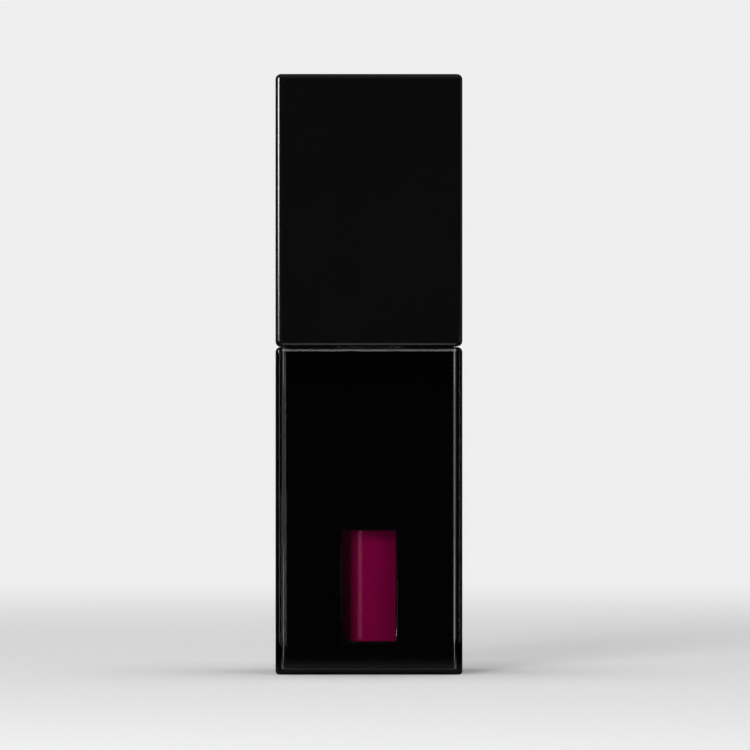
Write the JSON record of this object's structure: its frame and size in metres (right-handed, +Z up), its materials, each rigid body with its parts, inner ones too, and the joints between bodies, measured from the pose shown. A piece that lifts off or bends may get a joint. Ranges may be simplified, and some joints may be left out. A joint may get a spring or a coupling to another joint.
{
  "type": "liquid lipstick case",
  "caption": "Tall square liquid lipstick case: smoked clear bottle with black sleeve, window and magenta vial, and a satin black screw cap that carries a doe-foot wand.",
  "frame": {"origin": "centre of the base, at the bottom of the case", "axes": "+Z up along the case, -Y out of the face with the window, +X to the right of that face"},
  "size_m": [0.022, 0.022, 0.0707],
  "materials": {
    "smoked_clear": "polished smoked transparent moulding",
    "gloss_black": "gloss black moulding",
    "satin_black": "satin black moulding with eased edges",
    "inner_black": "plain black moulding",
    "clear": "clear moulding",
    "magenta": "wet magenta liquid lipstick",
    "natural_soft": "soft milky moulding",
    "gasket": "soft foam sheet",
    "flock": "short nylon flock stained by the fill"
  },
  "bodies": {
    "bottle": {"outer_shell": "smoked_clear", "mask_sleeve": "gloss_black", "shoulder_collar": "inner_black", "vial": "clear", "product": "magenta", "wiper": "natural_soft"},
    "wand": {"applicator_stem": "inner_black", "cap_gasket": "gasket"},
    "cap": {"cap_shell": "satin_black", "inner_cap": "inner_black", "applicator_tip": "flock"}
  },
  "joints": [
    {"name": "wand_lift", "type": "slide", "parent": "bottle", "child": "wand", "axis": [0, 0, 1], "range_m": [0, 0.052]},
    {"name": "cap_turn", "type": "hinge", "parent": "wand", "child": "cap", "pos_m": [0, 0, 0.0423], "axis": [0, 0, 1], "range_deg": [0, 450]}
  ]
}
